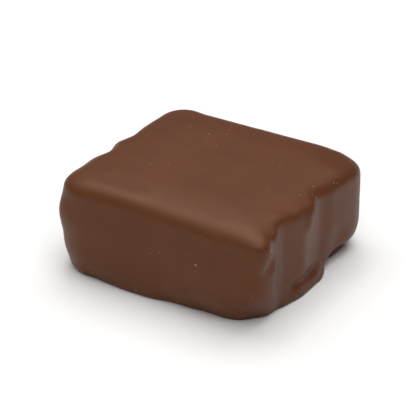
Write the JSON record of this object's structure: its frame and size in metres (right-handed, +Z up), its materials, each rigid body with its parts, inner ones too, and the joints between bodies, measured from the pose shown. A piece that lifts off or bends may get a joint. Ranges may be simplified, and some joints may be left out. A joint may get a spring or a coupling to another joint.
{
  "type": "milk chocolate square",
  "caption": "Low square piece of coated milk chocolate with round edges, soft upright folds on its walls and a thin foot along one side.",
  "frame": {"origin": "centre of the bounding box on the flat sole", "axes": "+Z up, -Y towards the long smooth wall, +X towards the folded wall with the foot"},
  "size_m": [0.028, 0.0266, 0.0118],
  "materials": {
    "milk_chocolate": "satin milk chocolate, a set coat with a soft sheen and a few pale specks"
  },
  "bodies": {
    "root": {"chocolate_square": "milk_chocolate"}
  },
  "joints": []
}
